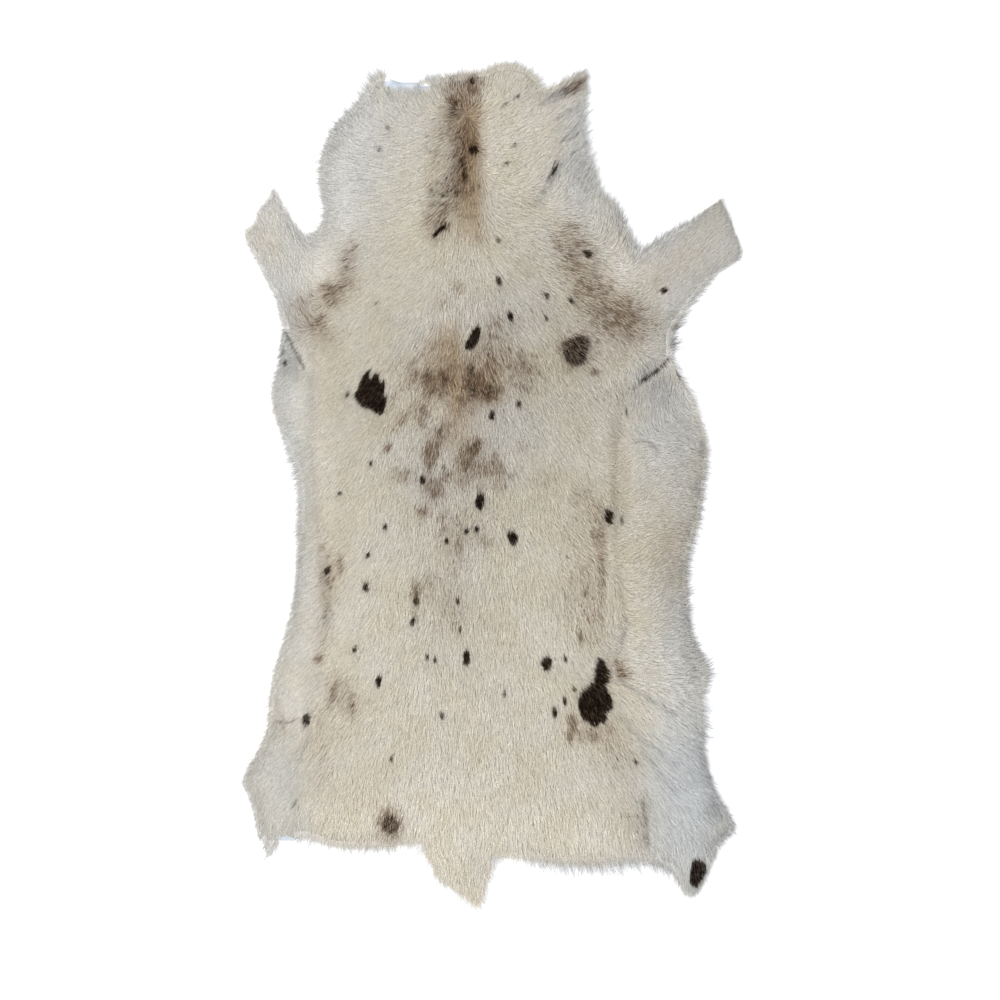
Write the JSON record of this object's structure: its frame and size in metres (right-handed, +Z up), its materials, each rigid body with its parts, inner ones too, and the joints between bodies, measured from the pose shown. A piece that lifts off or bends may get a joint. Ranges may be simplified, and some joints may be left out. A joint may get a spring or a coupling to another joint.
{
  "type": "reindeer hide",
  "caption": "Whole reindeer hide with the hair on, lying flat hair up: pale coat with dark spots, neck, forelegs, hind corners and a short tail.",
  "frame": {"origin": "on the resting surface, under the middle of the hide's bounding box", "axes": "+Z up out of the hair, +Y from the tail towards the neck, +X to the right as seen from above with the neck away"},
  "size_m": [0.75, 1.2708, 0.0218],
  "materials": {
    "hair_on_skin": "matt, pale hair on tanned skin"
  },
  "bodies": {
    "root": {"hide": "hair_on_skin"}
  },
  "joints": []
}
